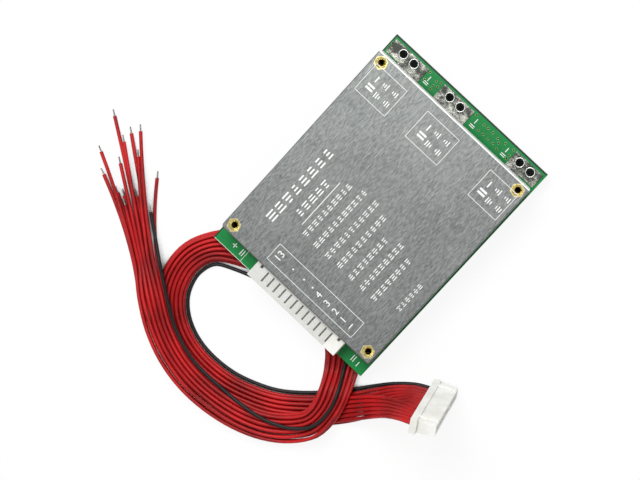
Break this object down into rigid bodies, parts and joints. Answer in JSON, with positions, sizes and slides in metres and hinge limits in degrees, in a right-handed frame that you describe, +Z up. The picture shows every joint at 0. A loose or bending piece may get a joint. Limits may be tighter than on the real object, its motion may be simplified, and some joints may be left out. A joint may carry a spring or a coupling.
{
  "type": "battery management board",
  "caption": "Battery protection board: green circuit board under a brushed aluminium heat plate on brass standoffs, side-entry header, three solder pads and a loose sense harness.",
  "frame": {"origin": "centre of the board's footprint, on the plane of its four standoff feet", "axes": "+Z up through the heat plate, +Y along the board towards the three cable pads, +X along the short edge so that the plate reads with the header at -Y"},
  "size_m": [0.1488, 0.1329, 0.0381],
  "materials": {
    "solder_mask": "glossy green solder mask",
    "brushed_aluminium": "brushed",
    "brass": "turned",
    "solder": "satin",
    "nylon": "natural nylon",
    "tin_plate": "bright tin",
    "black_epoxy": "matt moulding",
    "silicone_pad": "soft silicone",
    "tan_ceramic": "fired ceramic",
    "black_wire": "smooth insulation",
    "red_wire": "smooth insulation"
  },
  "bodies": {
    "root": {"circuit_board": "solder_mask", "heat_plate": "brushed_aluminium", "standoffs": "brass", "standoff_solder": "solder", "charge_pad": "solder", "discharge_pad": "solder", "battery_pad": "solder", "header_shell": "nylon", "header_pins": "tin_plate", "header_solder": "solder", "discharge_mosfets": "black_epoxy", "charge_mosfets": "black_epoxy", "mosfet_tabs": "tin_plate", "mosfet_leads": "tin_plate", "thermal_pad": "silicone_pad", "current_shunts": "black_epoxy", "shunt_ends": "tin_plate", "protection_chips": "black_epoxy", "chip_leads": "tin_plate", "balance_resistors": "black_epoxy", "resistor_ends": "tin_plate", "balance_transistors": "black_epoxy", "filter_capacitors": "tan_ceramic", "capacitor_ends": "tin_plate", "power_traces": "solder", "plug_housing": "nylon", "plug_contacts": "tin_plate", "wire_ends": "tin_plate", "wire_black": "black_wire", "wire_red_1": "red_wire", "wire_red_2": "red_wire", "wire_red_3": "red_wire", "wire_red_4": "red_wire", "wire_red_5": "red_wire", "wire_red_6": "red_wire", "wire_red_7": "red_wire", "wire_red_8": "red_wire", "wire_red_9": "red_wire", "wire_red_10": "red_wire", "wire_red_11": "red_wire", "wire_red_12": "red_wire", "wire_red_13": "red_wire"}
  },
  "joints": []
}
